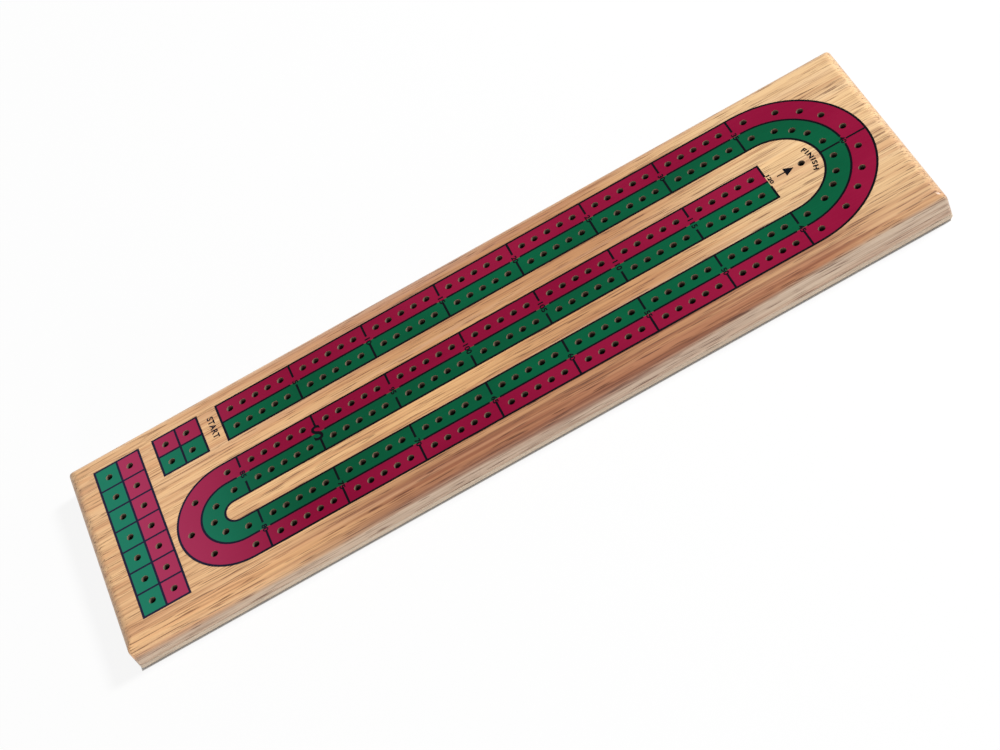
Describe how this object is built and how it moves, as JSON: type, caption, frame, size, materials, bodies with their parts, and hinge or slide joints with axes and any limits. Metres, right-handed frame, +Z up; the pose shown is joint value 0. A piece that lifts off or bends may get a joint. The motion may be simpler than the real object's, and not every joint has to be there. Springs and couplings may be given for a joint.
{
  "type": "cribbage board",
  "caption": "Flat wooden cribbage board with a printed two-colour continuous track of peg holes, standing on felt pads, and a shallow peg drawer that slides out of one end.",
  "frame": {"origin": "centre of the footprint, on the surface that the pads stand on", "axes": "+X along the board towards the end with the drawer and the far turn of the track, +Y across the board away from the player's side, +Z up"},
  "size_m": [0.381, 0.108, 0.0164],
  "materials": {
    "board_wood": "clear gloss lacquer over straight-grained tan hardwood",
    "panel_wood": "satin lacquer",
    "drawer_wood": "plain sanded",
    "screw_metal": "brass plated",
    "red_ink": "screen-printed ink under lacquer",
    "green_ink": "screen-printed ink under lacquer",
    "line_ink": "screen-printed ink under lacquer",
    "felt": "dark self-adhesive felt",
    "red_plastic": "moulded",
    "green_plastic": "moulded"
  },
  "bodies": {
    "board": {"board_block": "board_wood", "base_panel": "panel_wood", "base_screws": "screw_metal", "drawer_stop_pin": "screw_metal", "red_print": "red_ink", "green_print": "green_ink", "line_print": "line_ink", "felt_pad_start_near": "felt", "felt_pad_start_far": "felt", "felt_pad_drawer_near": "felt", "felt_pad_drawer_far": "felt"},
    "drawer": {"drawer_front": "board_wood", "drawer_left_side": "drawer_wood", "drawer_right_side": "drawer_wood", "drawer_back": "drawer_wood", "drawer_floor": "drawer_wood", "red_peg_1": "red_plastic", "red_peg_2": "red_plastic", "red_peg_3": "red_plastic", "green_peg_1": "green_plastic", "green_peg_2": "green_plastic", "green_peg_3": "green_plastic"}
  },
  "joints": [
    {"name": "drawer_slide", "type": "slide", "parent": "board", "child": "drawer", "axis": [1, 0, 0], "range_m": [0, 0.092]}
  ]
}
